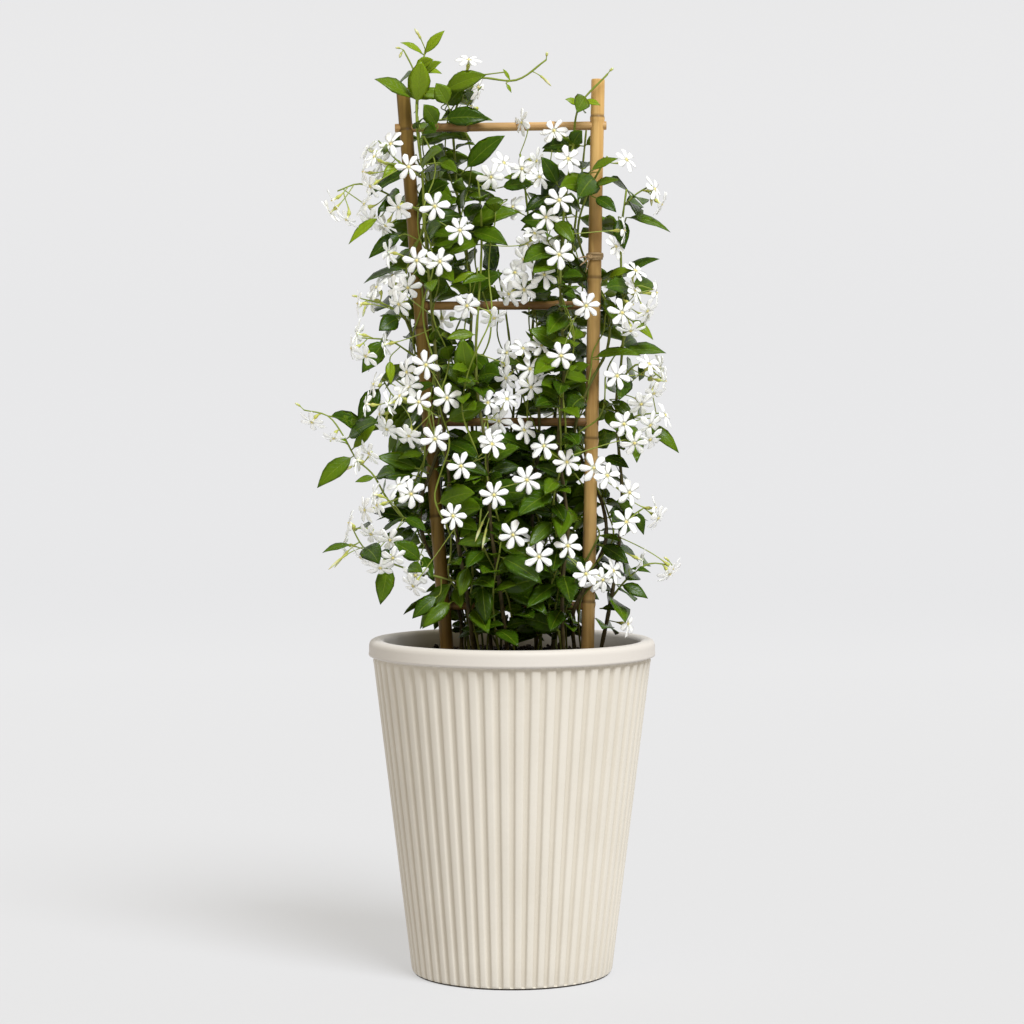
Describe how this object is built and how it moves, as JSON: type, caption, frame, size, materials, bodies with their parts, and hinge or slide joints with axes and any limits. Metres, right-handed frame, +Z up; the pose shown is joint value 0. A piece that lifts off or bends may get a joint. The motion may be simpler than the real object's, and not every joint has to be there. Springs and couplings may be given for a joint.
{
  "type": "potted star jasmine",
  "caption": "Flowering star jasmine trained up a bamboo ladder trellis in a tall tapered pot with fine upright ribs.",
  "frame": {"origin": "the middle of the pot's underside, which rests on the ground", "axes": "+Z up along the pot's axis; the trellis's front and most flowers face -Y; +X to the right seen from the front"},
  "size_m": [0.3827, 0.2864, 0.9425],
  "materials": {
    "cream_ceramic": "satin",
    "potting_soil": "matte",
    "bamboo_cane": "satin",
    "raffia": "matte",
    "jasmine_leaf": "satin",
    "jasmine_petal": "matte"
  },
  "bodies": {
    "root": {"pole_left": "bamboo_cane", "pole_right": "bamboo_cane", "pot": "cream_ceramic", "rung_1": "bamboo_cane", "rung_2": "bamboo_cane", "rung_3": "bamboo_cane", "rung_4": "bamboo_cane", "soil": "potting_soil", "spray_01": "jasmine_petal", "spray_02": "jasmine_petal", "spray_03": "jasmine_petal", "spray_04": "jasmine_petal", "spray_05": "jasmine_petal", "spray_06": "jasmine_petal", "spray_07": "jasmine_petal", "spray_08": "jasmine_petal", "spray_09": "jasmine_petal", "spray_10": "jasmine_petal", "spray_11": "jasmine_petal", "spray_12": "jasmine_petal", "spray_13": "jasmine_petal", "spray_14": "jasmine_petal", "spray_15": "jasmine_petal", "spray_16": "jasmine_petal", "spray_17": "jasmine_petal", "spray_18": "jasmine_petal", "spray_19": "jasmine_petal", "spray_20": "jasmine_petal", "spray_21": "jasmine_petal", "spray_22": "jasmine_petal", "spray_23": "jasmine_petal", "spray_24": "jasmine_petal", "spray_25": "jasmine_petal", "spray_26": "jasmine_petal", "spray_27": "jasmine_petal", "spray_28": "jasmine_petal", "spray_29": "jasmine_petal", "spray_30": "jasmine_petal", "spray_31": "jasmine_petal", "spray_32": "jasmine_petal", "spray_33": "jasmine_petal", "spray_34": "jasmine_petal", "spray_35": "jasmine_petal", "spray_36": "jasmine_petal", "spray_37": "jasmine_petal", "spray_38": "jasmine_petal", "tie_right": "raffia", "vine_left_back": "jasmine_leaf", "vine_left_front": "jasmine_leaf", "vine_left_inner": "jasmine_leaf", "vine_left_twine": "jasmine_leaf", "vine_middle_back": "jasmine_leaf", "vine_middle_front": "jasmine_leaf", "vine_right_back": "jasmine_leaf", "vine_right_front": "jasmine_leaf", "vine_right_inner": "jasmine_leaf", "vine_right_outer": "jasmine_leaf", "vine_right_twine": "jasmine_leaf"}
  },
  "joints": []
}
